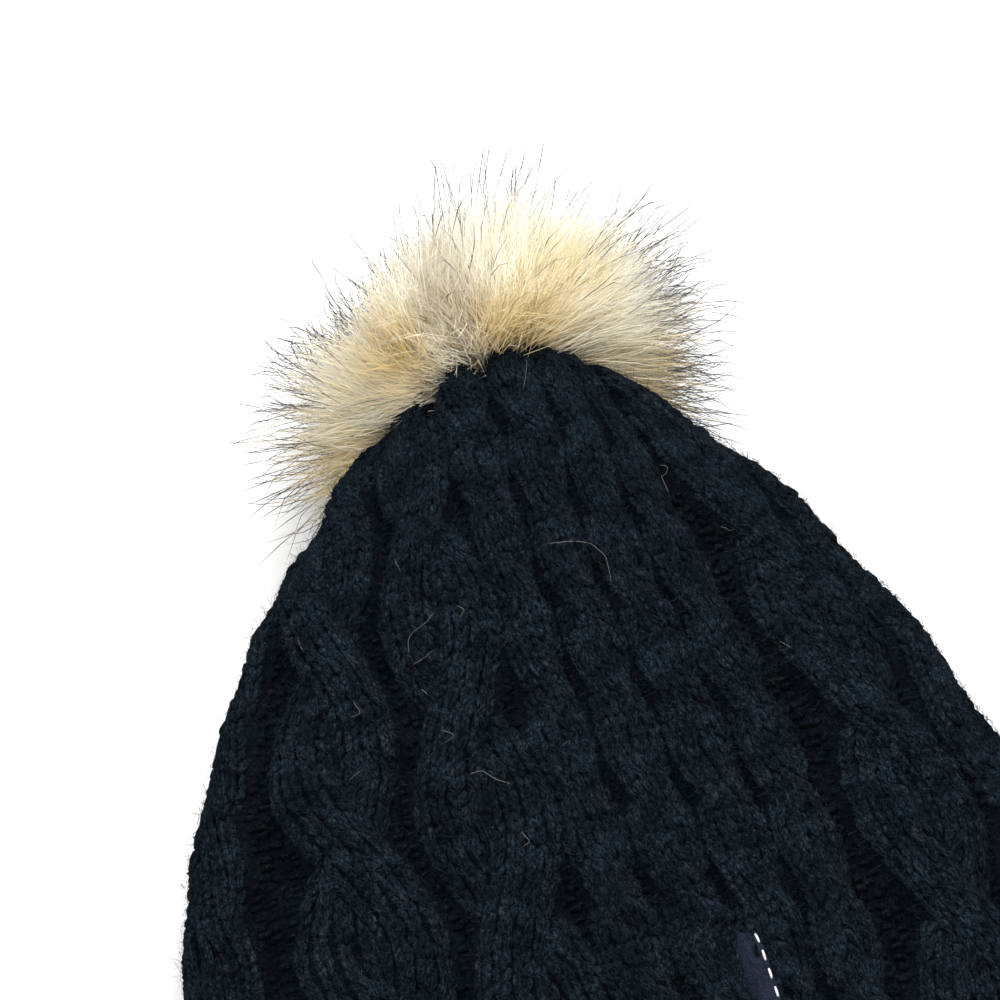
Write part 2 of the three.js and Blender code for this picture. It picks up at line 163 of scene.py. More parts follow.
class Fabric:
    """The ground fabric: places by share of a turn and by length of fabric from the gather hole."""

    def __init__(self):
        self.lengths, self.values, self.crown_end = self.section_lengths()
        self.end = self.lengths[-1]
        self.lip = self.lengths[np.argmin(self.values[:, 0])]
        self.turns = 8 * STITCHES
        self.steps = int(self.end / (0.5 * MM))
        self.points = self.grid_points()
        self.normals = self.grid_normals()

    def section_lengths(self):
        scale = np.array([CROWN_LENGTH, WIDEST_HALF, CROWN_HEIGHT, CROWN_HEIGHT, 1])
        rows = np.array(SECTIONS) * scale
        weights = np.array([1, 0.35, 0.5])
        knots = np.concatenate([[0], np.cumsum(np.sqrt((np.diff(rows[:, :3], axis=0) ** 2) @ weights))])
        slopes = np.diff(rows, axis=0) / np.diff(knots)[:, None]
        spans = np.diff(knots)[:, None]
        inner = (slopes[1:] * spans[:-1] + slopes[:-1] * spans[1:]) / (spans[1:] + spans[:-1])
        tangents = np.vstack([slopes[:1], inner, slopes[-1:]])
        at = np.linspace(0, knots[-1], 481)
        i = np.clip(np.searchsorted(knots, at, side="right") - 1, 0, len(rows) - 2)
        h = (knots[i + 1] - knots[i])[:, None]
        s = (at - knots[i])[:, None] / h
        values = ((2 * s**3 - 3 * s**2 + 1) * rows[i] + (s**3 - 2 * s**2 + s) * h * tangents[i]
                  + (3 * s**2 - 2 * s**3) * rows[i + 1] + (s**3 - s**2) * h * tangents[i + 1])
        steps = np.hypot(np.diff(values[:, 0]), np.diff(values[:, 2]))
        lengths = np.concatenate([[0], np.cumsum(steps)])
        return lengths, values, lengths[np.argmax(at >= knots[-2])]

    def grid_points(self):
        angle = np.linspace(0, 2 * math.pi, 241)
        side, up = np.sin(angle), np.cos(angle)
        points = np.zeros((self.steps + 1, self.turns, 3))
        for k, length in enumerate(np.linspace(0, self.end, self.steps + 1)):
            along, half, top, bottom, rounding = [np.interp(length, self.lengths, c) for c in self.values.T]
            middle = bottom + (top - bottom) * SIDE_HEIGHT_SHARE
            power = 2 / np.where(up > 0, rounding, UNDER_ROUND)
            x = half * np.sign(side) * np.abs(side) ** power
            rise = np.abs(up) ** power
            z = np.where(up > 0, middle + (top - middle) * rise, middle - (middle - bottom) * rise)
            run = np.concatenate([[0], np.cumsum(np.hypot(np.diff(x), np.diff(z)))])
            want = np.arange(self.turns) / self.turns * run[-1]
            points[k, :, 0] = np.interp(want, run, x)
            points[k, :, 1] = FAR_END - along
            points[k, :, 2] = np.interp(want, run, z)
        return points

    def grid_normals(self):
        across = np.roll(self.points, -2, 1) - np.roll(self.points, 2, 1)
        down = np.gradient(self.points, axis=0)
        out = np.cross(down, across)
        out /= np.linalg.norm(out, axis=-1, keepdims=True) + 1e-12
        lengths = np.linspace(0, self.end, self.steps + 1)
        tilt = smooth(np.abs(lengths - self.crown_end), 0.6 * MM, 5 * ROW)
        out[..., 1] *= tilt[:, None]
        return out / (np.linalg.norm(out, axis=-1, keepdims=True) + 1e-12)

    def sample(self, grid, turn, length):
        u = np.mod(turn, 1) * self.turns
        v = np.clip(length / self.end, 0, 1) * self.steps
        u0 = np.floor(u).astype(int)
        v0 = np.clip(np.floor(v).astype(int), 0, self.steps - 1)
        fu, fv = (u - u0)[..., None], (v - v0)[..., None]
        u0 %= self.turns
        u1 = (u0 + 1) % self.turns
        top = grid[v0, u0] * (1 - fu) + grid[v0, u1] * fu
        low = grid[v0 + 1, u0] * (1 - fu) + grid[v0 + 1, u1] * fu
        return top * (1 - fv) + low * fv

    def gathered(self, length, far):
        """Share of the gather's pull: full near the gather, none beyond far times the lip's length."""
        rise = smooth(length, 0.15 * self.lip, 0.8 * self.lip)
        return rise * (1 - smooth(length, 0.4 * far * self.lip, far * self.lip))

    def fold(self, across, length):
        """Depth of the folds that the gather pulls into the fabric between its cables."""
        depth = 0.0
        for middle in GATHER_FOLDS:
            depth = depth + FOLD_DEPTH * np.exp(-(round_hat(across - middle) / FOLD_HALF) ** 2)
        return depth * self.gathered(length, FOLD_REACH)

    def place(self, turn, length, height):
        """Points height metres out of the ground fabric, never under the surface it lies on."""
        across = round_hat((turn - lean(length)) * STITCHES)
        fan = sum(shift * np.exp(-((across - middle) / half) ** 2) for shift, middle, half in GATHER_FANS)
        turn = turn + fan * self.gathered(length, FAN_REACH) / STITCHES
        out = self.sample(self.normals, turn, length)
        height = np.asarray(height) - self.fold(across, length)
        points = self.sample(self.points, turn, length) + out * height[..., None]
        sag = np.interp(across, SAG_PLACES, SAG_DEPTHS) * self.gathered(length, SAG_REACH)
        points = points + sag[..., None] * np.array(SAG_AIM)
        side = points[..., 0]
        points[..., 0] = side + (RIGHT_SPREAD * smooth(side, SPREAD_START, SPREAD_FULL)
                                 - LEFT_SPREAD * smooth(-side, SPREAD_START, SPREAD_FULL))
        points[..., 2] = np.maximum(points[..., 2], 0)
        return points


fabric = Fabric()
CABLES = [cable for panel in PANELS for cable in cables_of(panel)]


def lean(length):
    return LEAN_PER_ROW * (length / ROW - LEAN_MIDDLE_ROW) / STITCHES


def relief_share(length):
    shoulder = smooth(length, 0.5 * fabric.lip, 1.35 * fabric.lip)
    hem = smooth(fabric.crown_end - length, 0, 2.5 * ROW)
    return shoulder * (END_RELIEF + (1 - END_RELIEF) * hem)


def strand_height(across, length):
    """Height of the highest strand over the ground fabric; across is in stitches, without the lean."""
    height = np.zeros(np.broadcast(across, length).shape)
    for cable in CABLES:
        offset = round_hat(across - cable["centre"])
        for side in (0, math.pi):
            angle = math.pi * (length / ROW - cable["phase"]) / cable["rows"] + side
            t = (offset + cable["turn"] * cable["swing"] * np.cos(angle)) / cable["half"]
            crest = np.sqrt(np.clip(1 - t * t, 0, 1))
            rise = cable["base"] + cable["lift"] * np.sin(angle) + cable["crest"] * crest
            height = np.maximum(height, np.where(np.abs(t) < 1, rise, 0))
    return height


def strand_place(cable, side, t, length):
    """Points on one strand: t runs from -1 to 1 across it. Also gives the place across, and the height."""
    angle = math.pi * (length / ROW - cable["phase"]) / cable["rows"] + side
    across = cable["centre"] - cable["turn"] * cable["swing"] * np.cos(angle) + t * cable["half"]
    rise = cable["base"] + cable["lift"] * np.sin(angle)
    height = rise + cable["crest"] * np.sqrt(np.clip(1 - t * t, 0, 1))
    share = relief_share(length)
    points = fabric.place(across / STITCHES + lean(length), length, height * share)
    return points, across, height


def new_object(name, mesh):
    piece = bpy.data.objects.new(name, mesh)
    bpy.context.collection.objects.link(piece)
    return piece


def mesh_piece(name, points, faces, material=None, is_smooth=True):
    """An object from points and faces, lists of index tuples or one array of equal faces."""
    mesh = bpy.data.meshes.new(name)
    mesh.from_pydata(np.asarray(points).tolist(), [], np.asarray(faces).tolist()
                     if isinstance(faces, np.ndarray) else faces)
    mesh.update()
    if material:
        mesh.materials.append(material)
    if is_smooth:
        mesh.polygons.foreach_set("use_smooth", [True] * len(mesh.polygons))
    return new_object(name, mesh)


def ring_faces(rows, columns, start=0, is_closed=False):
    """Quads between rings of equal count; a shell is closed by joining the last ring to the first."""
    last = rows if is_closed else rows - 1
    j, i = np.meshgrid(np.arange(last), np.arange(columns), indexing="ij")
    k, n = (j + 1) % rows, (i + 1) % columns
    quads = np.stack([j * columns + i, k * columns + i, k * columns + n, j * columns + n], -1)
    return quads.reshape(-1, 4) + start


def add_socket(tree, name, kind, is_input=True, default=None):
    in_out = "INPUT" if is_input else "OUTPUT"
    socket = tree.interface.new_socket(name=name, in_out=in_out, socket_type="NodeSocket" + kind)
    if default is not None:
        socket.default_value = default


def feed(tree, node, feeds):
    """Fills inputs of a node, by name or number, from outputs of other nodes or with plain values."""
    for key, value in feeds.items():
        if isinstance(value, bpy.types.NodeSocket):
            tree.links.new(value, node.inputs[key])
        else:
            node.inputs[key].default_value = value


def add_node(tree, kind, feeds=None, **settings):
    node = tree.nodes.new(kind)
    for key, value in settings.items():
        setattr(node, key, value)
    feed(tree, node, feeds or {})
    return node


def add_math(tree, operation, *values):
    """A math node fed by outputs or plain numbers; gives its output."""
    return add_node(tree, "ShaderNodeMath", dict(enumerate(values)), operation=operation).outputs["Value"]


def vector_math(tree, operation, first, second):
    feeds = {0: first, "Scale" if operation == "SCALE" else 1: second}
    return add_node(tree, "ShaderNodeVectorMath", feeds, operation=operation).outputs["Vector"]


def random_direction(tree, seed):
    """A random vector between -1 and 1 on each axis."""
    feeds = {"Min": (-1, -1, -1), "Max": (1, 1, 1), "Seed": seed}
    return add_node(tree, "FunctionNodeRandomValue", feeds, data_type="FLOAT_VECTOR").outputs["Value"]


def finish_tree(tree, instances, material):
    """Makes the instances real, paints them and gives them out."""
    real = add_node(tree, "GeometryNodeRealizeInstances", {"Geometry": instances})
    paint = add_node(tree, "GeometryNodeSetMaterial",
                     {"Geometry": real.outputs["Geometry"], "Material": material})
    add_node(tree, "NodeGroupOutput", {"Geometry": paint.outputs["Geometry"]})
    return tree


def run_tree(source, tree, values, name):
    """Evaluates a tree on a source object and leaves its result as a plain mesh object."""
    modifier = source.modifiers.new(tree.name, "NODES")
    modifier.node_group = tree
    for item in tree.interface.items_tree:
        if item.item_type == "SOCKET" and item.in_out == "INPUT" and item.name in values:
            modifier[item.identifier] = values[item.name]
    source.update_tag()
    bpy.context.view_layer.update()
    evaluated = source.evaluated_get(bpy.context.evaluated_depsgraph_get())
    mesh = bpy.data.meshes.new_from_object(evaluated)
    source.modifiers.remove(modifier)
    mesh.name = name
    mesh.polygons.foreach_set("use_smooth", [True] * len(mesh.polygons))
    return new_object(name, mesh)


def remove_objects(objects):
    for piece in objects:
        mesh = piece.data
        bpy.data.objects.remove(piece)
        bpy.data.meshes.remove(mesh)


def stitch_tree(material):
    """Sets one stitch on every point, turned by its up and along attributes and sized by its size."""
    tree = bpy.data.node_groups.new("set_stitches", "GeometryNodeTree")
    add_socket(tree, "Points", "Geometry")
    add_socket(tree, "Stitch", "Object")
    add_socket(tree, "Geometry", "Geometry", is_input=False)
    given = tree.nodes.new("NodeGroupInput").outputs
    reads = [add_node(tree, "GeometryNodeInputNamedAttribute", {"Name": name}, data_type="FLOAT_VECTOR")
             for name in ("up", "along", "size")]
    up, along, size = [node.outputs["Attribute"] for node in reads]
    shape = add_node(tree, "GeometryNodeObjectInfo", {"Object": given["Stitch"]})
    turn = add_node(tree, "FunctionNodeAxesToRotation", {"Primary Axis": up, "Secondary Axis": along},
                    primary_axis="Z", secondary_axis="Y")
    plant = add_node(tree, "GeometryNodeInstanceOnPoints",
                     {"Points": given["Points"], "Instance": shape.outputs["Geometry"],
                      "Rotation": turn.outputs["Rotation"], "Scale": size})
    return finish_tree(tree, plant.outputs["Instances"], material)


def point_source(points, up, along, size):
    """A mesh of loose points that carries what the stitch tree reads."""
    mesh = bpy.data.meshes.new("stitch_points")
    mesh.from_pydata(points.tolist(), [], [])
    for name, values in (("up", up), ("along", along), ("size", size)):
        attribute = mesh.attributes.new(name, "FLOAT_VECTOR", "POINT")
        attribute.data.foreach_set("vector", np.asarray(values, np.float32).ravel())
    return new_object("stitch_points", mesh)


def yarn_tube(path, radii, sides):
    """A closed tube along a short path, pointed at both ends; radii are for the inner points."""
    path = np.asarray(path, float)
    points = [path[0]]
    for i in range(1, len(path) - 1):
        ahead = path[i + 1] - path[i - 1]
        ahead /= np.linalg.norm(ahead)
        flat = np.cross(ahead, (0, 0, 1))
        flat /= np.linalg.norm(flat)
        rise = np.cross(flat, ahead)
        for k in range(sides):
            a = 2 * math.pi * k / sides
            points.append(path[i] + radii[i - 1] * (math.cos(a) * flat + math.sin(a) * rise))
    points.append(path[-1])
    faces = []
    rings = len(path) - 2
    for k in range(sides):
        n = (k + 1) % sides
        faces.append((0, 1 + n, 1 + k))
        for r in range(rings - 1):
            a, b = 1 + r * sides, 1 + (r + 1) * sides
            faces.append((a + k, a + n, b + n, b + k))
        last = 1 + (rings - 1) * sides
        faces.append((last + k, last + n, len(points) - 1))
    return points, faces


def spindle(path, radii):
    """A three-sided fibre, pointed at both ends."""
    points, faces = [path[0]], []
    for place, radius in zip(path[1:-1], radii):
        for k in range(3):
            a = 2 * math.pi * k / 3
            points.append(place + radius * np.array([math.cos(a), math.sin(a), 0]))
    points.append(path[-1])
    rings = len(path) - 2
    for k in range(3):
        n = (k + 1) % 3
        faces.append((0, 1 + n, 1 + k))
        for r in range(rings - 1):
            a, b = 1 + 3 * r, 4 + 3 * r
            faces.append((a + k, a + n, b + n, b + k))
        last = 3 * rings - 2
        faces.append((last + k, last + n, len(points) - 1))
    return points, faces


def join_shapes(name, shapes):
    points, faces = [], []
    for shape_points, shape_faces in shapes:
        faces += [tuple(i + len(points) for i in face) for face in shape_faces]
        points += list(shape_points)
    return mesh_piece(name, points, faces)


def leg_path(side, share):
    """Middle of one leg of a V, in wale widths, row heights and thickness."""
    height = 0.08 + 0.5 * share - 0.72 * share**2
    return np.stack([side * (0.07 + 0.27 * share), -1 + 1.95 * share, height], -1)


def knit_stitch(name, sides, rings, strays, seed):
    """One V of a knit stitch: two plump legs with stray fibres brushed out of them."""
    draw = np.random.default_rng(seed)
    shapes = []
    for side in (-1, 1):
        share = np.linspace(0, 1, rings + 2)
        radii = 0.28 * np.sin(math.pi * (0.12 + 0.76 * share[1:-1])) ** 0.6
        shapes.append(yarn_tube(leg_path(side, share), radii, sides))
    yarn_points = sum(len(points) for points, _ in shapes)
    for _ in range(strays):
        middle = leg_path(draw.choice((-1, 1)), draw.uniform(0, 1)) + (draw.normal(0, 0.13), 0, 0)
        angle = draw.normal(0, 0.7)
        aim = (math.sin(angle), math.cos(angle), 0)
        path = middle + np.outer((-1, 0, 1), aim) * draw.uniform(0.3, 0.65)
        path[1, :2] += draw.normal(0, 0.12, 2)
        path[:, 2] = np.array([0.28, 0.47, 0.34]) + np.array([0, 0.06, 0.12]) * draw.uniform(0, 1.5)
        shapes.append(spindle(path, [STRAY_RADIUS]))
    stitch = join_shapes(name, shapes)
    mark = stitch.data.attributes.new("fibre", "FLOAT", "POINT")
    mark.data.foreach_set("value", np.arange(len(stitch.data.vertices)) >= yarn_points)
    return mark_yarn(stitch)


def mark_yarn(stitch):
    """Stores each point's place in its stitch, for the grain of the yarn."""
    places = np.array([v.co[:] for v in stitch.data.vertices], np.float32)
    grain = stitch.data.attributes.new("grain", "FLOAT_VECTOR", "POINT")
    grain.data.foreach_set("vector", (places * YARN_GRAIN).astype(np.float32).ravel())
    return stitch


def purl_stitch(name, sides, rings):
    """One bump of a purl stitch: a short arch across the wale."""
    share = np.linspace(-1, 1, rings + 2)
    path = np.stack([0.5 * share, 0.3 * np.cos(share * 1.4) - 0.15, 0.14 - 0.36 * share**2], 1)
    radii = 0.33 * np.cos(share[1:-1] * 1.1)
    return mark_yarn(join_shapes(name, [yarn_tube(path, radii, sides)]))


def strand_stitches(cables):
    """Places, frames and sizes of every knit stitch that shows on the strands of some cables."""
    found = []
    rows = np.arange(0.9 * fabric.lip / ROW, fabric.crown_end / ROW - 0.3, STITCH_ROWS)
    reach = STITCH_ROWS * ROW / 2
    for cable in cables:
        for side in (0, math.pi):
            for wale in range(cable["wales"]):
                t = (wale - (cable["wales"] - 1) / 2) * cable["wale_step"] * np.ones_like(rows)
                length = rows * ROW
                here, across, height = strand_place(cable, side, t, length)
                ahead = strand_place(cable, side, t, length - reach)[0]
                behind = strand_place(cable, side, t, length + reach)[0]
                step = cable["wale_step"] / 2
                right = strand_place(cable, side, t + step, length)[0]
                left = strand_place(cable, side, t - step, length)[0]
                shows = height > strand_height(across, length) - 0.9 * MM
                shows &= (here[:, 2] > 0.2 * MM) | (relief_share(length) < 0.9)
                found.append([a[shows] for a in (here, ahead - behind, right - left)])
    here, along, wide = [np.concatenate(column) for column in zip(*found)]
    return stitch_frames(here, along, wide, STITCH_SINK)


def stitch_frames(here, along, wide, sink):
    """Frames and sizes from the steps to the next stitch along and across."""
    row_height = np.linalg.norm(along, axis=1, keepdims=True)
    wale_width = np.clip(np.linalg.norm(wide, axis=1, keepdims=True), 1.5 * MM, 5.5 * MM)
    up = np.cross(wide, along)
    up /= np.linalg.norm(up, axis=1, keepdims=True) + 1e-12
    along = along / row_height
    draw = np.random.default_rng(len(here))
    up = up + draw.normal(0, 0.07, up.shape)
    along = along + draw.normal(0, 0.08, along.shape)
    thickness = 0.45 * wale_width + 1.6 * MM
    size = np.hstack([wale_width, row_height, thickness]) * draw.uniform(0.86, 1.14, up.shape)
    return here - up * sink + draw.normal(0, 0.22 * MM, here.shape), up, along, size


def slub_noise(places, wave, waves=10, seed=4):
    """Smooth pseudo-random offsets for points, from a few sine waves about wave metres long."""
    draw = np.random.default_rng(seed)
    offset = np.zeros_like(places)
    for _ in range(waves):
        aim = draw.normal(size=3)
        aim *= 2 * math.pi / (wave * draw.uniform(0.7, 1.6)) / np.linalg.norm(aim)
        offset += np.sin(places @ aim + draw.uniform(0, 6.3))[:, None] * draw.normal(size=3)
    return offset / math.sqrt(waves)


def ease(value, limit, give):
    """Values that rise by only a share give beyond a limit."""
    return np.where(value > limit, limit + give * (value - limit), value)


# Where the fur is eased: the height near the floor, the ends toward +Y and the ends on top, each with
# the share that is left of what lies beyond
FUR_FLOOR = 14 * MM
FUR_END = (206 * MM, 0.35)
FUR_TOP = (102 * MM, 0.4)
FUR_GIVE = 0.45


def round_off(places, reach):
    """Draws hair in that ends beyond reach of the pompom's centre, and settles the lowest on the floor."""
    offset = places - np.array(POMPOM_CENTRE)
    radius = np.linalg.norm(offset, axis=1, keepdims=True)
    fullness = ease(radius, reach, FUR_GIVE) / radius
    for aim, start, full, share in FUR_HOLLOWS:
        loss = share * smooth(offset @ np.array(aim) / radius[:, 0], start, full)
        fullness = fullness * (1 - loss[:, None])
    places = np.array(POMPOM_CENTRE) + offset * fullness
    settled = FUR_FLOOR * np.exp((places[:, 2] - FUR_FLOOR) / FUR_FLOOR)
    height = np.where(places[:, 2] < FUR_FLOOR, settled, places[:, 2])
    return np.stack([places[:, 0], ease(places[:, 1], *FUR_END), ease(height, *FUR_TOP)], -1)


def finish_yarn(piece, slub=0.0, reach=None):
    """Makes yarn uneven by slub metres and keeps it off the floor; reach rounds off fur."""
    mesh = piece.data
    places = np.zeros(3 * len(mesh.vertices), np.float32)
    mesh.vertices.foreach_get("co", places)
    places = places.reshape(-1, 3)
    if slub:
        places = places + slub * slub_noise(places, 2.2 * MM)
    if reach:
        places = round_off(places, reach)
    places[:, 2] = np.maximum(places[:, 2], 0)
    mesh.vertices.foreach_set("co", places.astype(np.float32).ravel())
    mesh.update()


def set_stitches(name, frames, stitch, tree):
    source = point_source(*frames)
    piece = run_tree(source, tree, {"Stitch": stitch}, name)
    remove_objects([source])
    finish_yarn(piece, SLUB)
    return piece


def fabric_ring(turn, length, height):
    """One ring of fabric points at a length; height is one number or one for every turn."""
    height = np.broadcast_to(height, turn.shape)
    return fabric.place(turn + lean(length), np.full(len(turn), length), height)


def crown_relief(turn, length):
    """Height of the cables over the ground fabric round one ring of the crown."""
    return strand_height(turn * STITCHES, np.full(len(turn), length)) * relief_share(length)


def band_relief(turn, length):
    """Height of the rib, which fades at the open edge of the band."""
    return rib_height(turn) * smooth(fabric.end - length, -2 * MM, 5 * MM)


def crown_shell(material):
    """The knit body under the stitches: relief outside, smooth inside, closed round both rims."""
    columns = 215
    outer_lengths = np.concatenate([np.linspace(0, fabric.lip, 10)[:-1],
                                    np.linspace(fabric.lip, fabric.crown_end, 72)])
    inner_lengths = np.linspace(fabric.crown_end, 0, 20)
    turn = np.arange(columns) / columns
    rings = []
    for length in outer_lengths:
        rings.append(fabric_ring(turn, length, crown_relief(turn, length) - STITCH_SINK * 0.8))
    for length in inner_lengths:
        rings.append(fabric_ring(turn, length, -CROWN_WALL))
    points = np.concatenate(rings)
    faces = ring_faces(len(rings), columns, is_closed=True)
    return mesh_piece("crown_body", points, faces, material)


def gutter_stitches():
    """Purl bumps wherever no strand covers the ground fabric."""
    found = []
    rows = np.arange(1.0 * fabric.lip / ROW, fabric.crown_end / ROW - 0.3, 1.0)
    for column in range(STITCHES):
        across = np.full(len(rows), column + 0.5)
        length = (rows + 0.5 * (column % 2)) * ROW
        turn = across / STITCHES + lean(length)
        bare = strand_height(across, length) < 0.1 * MM
        ground = np.zeros(len(rows))
        here = fabric.place(turn, length, ground)
        ahead = fabric.place(across / STITCHES + lean(length - ROW / 2), length - ROW / 2, ground)
        behind = fabric.place(across / STITCHES + lean(length + ROW / 2), length + ROW / 2, ground)
        right = fabric.place(turn + 0.5 / STITCHES, length, ground)
        left = fabric.place(turn - 0.5 / STITCHES, length, ground)
        found.append([a[bare] for a in (here, ahead - behind, right - left)])
    here, along, wide = [np.concatenate(column) for column in zip(*found)]
    here = here + np.random.default_rng(8).normal(0, 0.45 * MM, here.shape)
    return stitch_frames(here, along, wide, 0.5 * MM)


def rib_height(turn):
    """Two-by-two rib: rounded crests with flat grooves between them."""
    wave = 0.5 + 0.5 * np.cos(2 * math.pi * turn * RIBS)
    return RIB_RISE * smooth(wave, 0.12, 0.85)


def band_shell(material):
    columns = RIBS * 10
    start = fabric.crown_end + 0.3 * MM
    outer_lengths = np.linspace(start, fabric.end, 14)
    inner_lengths = np.linspace(fabric.end, start, 6)
    turn = np.arange(columns) / columns
    rings = []
    for length in outer_lengths:
        rings.append(fabric_ring(turn, length, band_relief(turn, length) - 0.6 * MM))
    for length in inner_lengths:
        rings.append(fabric_ring(turn, length, -BAND_WALL))
    faces = ring_faces(len(rings), columns, is_closed=True)
    return mesh_piece("band_body", np.concatenate(rings), faces, material)


def band_stitches(is_knit):
    """Knit wales on the crests of the rib, purl wales in its grooves."""
    found = []
    rows = np.arange(fabric.crown_end / ROW + 0.5, fabric.end / ROW - 0.2, 1.0)
    length = rows * ROW
    for rib in range(RIBS):
        for wale in (-0.5, 0.5):
            middle = rib + (0 if is_knit else 0.5) + wale / 4
            turn = np.full(len(rows), middle / RIBS)
            height = band_relief(turn, length)
            here = fabric.place(turn + lean(length), length, height)
            ahead = fabric.place(turn + lean(length - ROW / 2), length - ROW / 2, height)
            behind = fabric.place(turn + lean(length + ROW / 2), length + ROW / 2, height)
            step = 1 / (8 * RIBS)
            right = fabric.place(turn + step + lean(length), length, rib_height(turn + step))
            left = fabric.place(turn - step + lean(length), length, rib_height(turn - step))
            found.append([here, ahead - behind, right - left])
    here, along, wide = [np.concatenate(column) for column in zip(*found)]
    return stitch_frames(here, along, wide, 0.5 * MM)


# Materials

def node_material(name):
    material = bpy.data.materials.new(name)
    material.use_nodes = True
    shader = next(n for n in material.node_tree.nodes if n.type == "BSDF_PRINCIPLED")
    return material, material.node_tree, shader


def object_place(tree):
    return tree.nodes.new("ShaderNodeTexCoord").outputs["Object"]


def read_attribute(tree, name, output="Fac"):
    return add_node(tree, "ShaderNodeAttribute", attribute_name=name).outputs[output]


def noise_on_object(tree, scale, detail=3.0, roughness=0.55):
    feeds = {"Vector": object_place(tree), "Scale": scale, "Detail": detail, "Roughness": roughness}
    return add_node(tree, "ShaderNodeTexNoise", feeds)


def colour_ramp(tree, source, stops):
    """Colours by position along a ramp that an output drives; gives the colour's output."""
    ramp = add_node(tree, "ShaderNodeValToRGB", {"Fac": source})
    band = ramp.color_ramp
    while len(band.elements) > 1:
        band.elements.remove(band.elements[-1])
    band.elements[0].position, band.elements[0].color = stops[0][0], (*stops[0][1], 1)
    for position, colour in stops[1:]:
        band.elements.new(position).color = (*colour, 1)
    return ramp.outputs["Color"]


def mix_colours(tree, factor, first, second, blend="MIX"):
    feeds = {"Factor": factor, "A": first, "B": second}
    return add_node(tree, "ShaderNodeMix", feeds, data_type="RGBA", blend_type=blend).outputs["Result"]


def add_bump(tree, shader, noise, strength, distance):
    feeds = {"Strength": strength, "Distance": distance, "Height": noise.outputs["Fac"]}
    feed(tree, shader, {"Normal": add_node(tree, "ShaderNodeBump", feeds).outputs["Normal"]})


WOOL_COLOUR = (0.0092, 0.0144, 0.0196)
GRAIN_DRIFT = 260.0
MOTTLE_SCALE = 130.0


def wool_material(name, shade, has_grain=False):
    """Brushed dark yarn: near-black pits and paler fibres, matt, with a faint sheen.

    The fine streaks are partly the yarn's uneven tone and partly painted shade in its pits and painted
    sheen on its fibres, standing in for the shading of their relief. Shade scales the whole colour: copies
    below 1 are painted shade, copies above 1 painted sheen. Points whose fibre attribute is 1 take the
    paler colour of stray fibres, which is painted sheen of light on them; the grain attribute of stitches
    draws the fibres out along the yarn.
    """
    material, tree, shader = node_material(name)
    streaks = noise_on_object(tree, 850, detail=5, roughness=0.8)
    feed(tree, streaks, {"Distortion": 1.5})
    if has_grain:
        drift = (GRAIN_DRIFT, GRAIN_DRIFT, GRAIN_DRIFT)
        spread = add_node(tree, "ShaderNodeVectorMath",
                          {0: object_place(tree), 1: drift, 2: read_attribute(tree, "grain", "Vector")},
                          operation="MULTIPLY_ADD")
        feed(tree, streaks, {"Vector": spread.outputs["Vector"], "Scale": 1.0, "Distortion": 0.7})
    yarn = wool_ramp(tree, streaks, shade, ((0.41, 0.06), (0.51, 0.6), (0.61, 2.7)))
    # Paler stray fibres: painted sheen of light caught on loose fibres.
    stray_sheen = wool_ramp(tree, streaks, shade, ((0.4, 0.9), (0.5, 2.0), (0.6, 4.6)))
    colour = mix_colours(tree, read_attribute(tree, "fibre"), yarn, stray_sheen)
    patches = noise_on_object(tree, MOTTLE_SCALE).outputs["Fac"]
    mottle = colour_ramp(tree, patches, [(0.36, (0.55, 0.55, 0.55)), (0.64, (1.4, 1.4, 1.4))])
    feed(tree, shader, {"Base Color": mix_colours(tree, 1, colour, mottle, "MULTIPLY"),
                        "Roughness": 0.9, "Specular IOR Level": 0.0, "Sheen Weight": 0.02,
                        "Sheen Roughness": 0.5, "Sheen Tint": (0.5, 0.75, 1.0, 1)})
    add_bump(tree, shader, streaks, 1.0, 1.2 * MM)
    return material


def wool_ramp(tree, noise, shade, steps):
    stops = [(place, tuple(c * shade * light for c in WOOL_COLOUR)) for place, light in steps]
    return colour_ramp(tree, noise.outputs["Fac"], stops)


POMPOM_CENTRE = Vector((0, FAR_END + 6 * MM, GATHER_HEIGHT + 3 * MM))
ROOT_RADIUS = 24 * MM

# Where the fur is shorter: the way there from its centre, the cosines to that way at which the loss
# starts and is full, and the share lost; the parting at the upper left, the left side and the back
FUR_HOLLOWS = [
    ((-0.56, 0.69, 0.46), 0.80, 0.98, 0.32),
    ((-0.97, -0.10, -0.20), 0.20, 0.90, 0.11),
    ((0.15, 0.63, -0.76), 0.15, 0.80, 0.13),
]


# Patches of the fur: centre and radius in metres, and the tint there. The golden tints are the fur's own
# colour; the two grey patches at the parting are painted shade, and the tints above 1 are painted light
# on fur that lies in shade.
FUR_TINTS_AND_PAINTED_LIGHT = [
    ((0.008, 0.128, 0.097), 0.019, (0.80, 0.67, 0.40)),
    ((-0.034, 0.130, 0.088), 0.018, (0.94, 0.77, 0.45)),
    ((0.062, 0.131, 0.055), 0.022, (0.90, 0.76, 0.48)),
    ((-0.056, 0.133, 0.030), 0.026, (0.90, 0.79, 0.54)),
    ((0.030, 0.152, 0.092), 0.018, (0.98, 0.90, 0.70)),
    # Grey: painted shade where the fur parts
    ((-0.012, 0.142, 0.098), 0.012, (0.70, 0.66, 0.60)),
    ((-0.012, 0.160, 0.098), 0.013, (0.78, 0.75, 0.70)),
    # Above 1: painted light on fur that lies in shade
    ((-0.048, 0.137, 0.062), 0.017, (1.10, 1.09, 1.04)),
    ((-0.026, 0.155, 0.088), 0.014, (1.08, 1.08, 1.08)),
    ((0.050, 0.140, 0.072), 0.014, (1.06, 1.06, 1.05)),
]


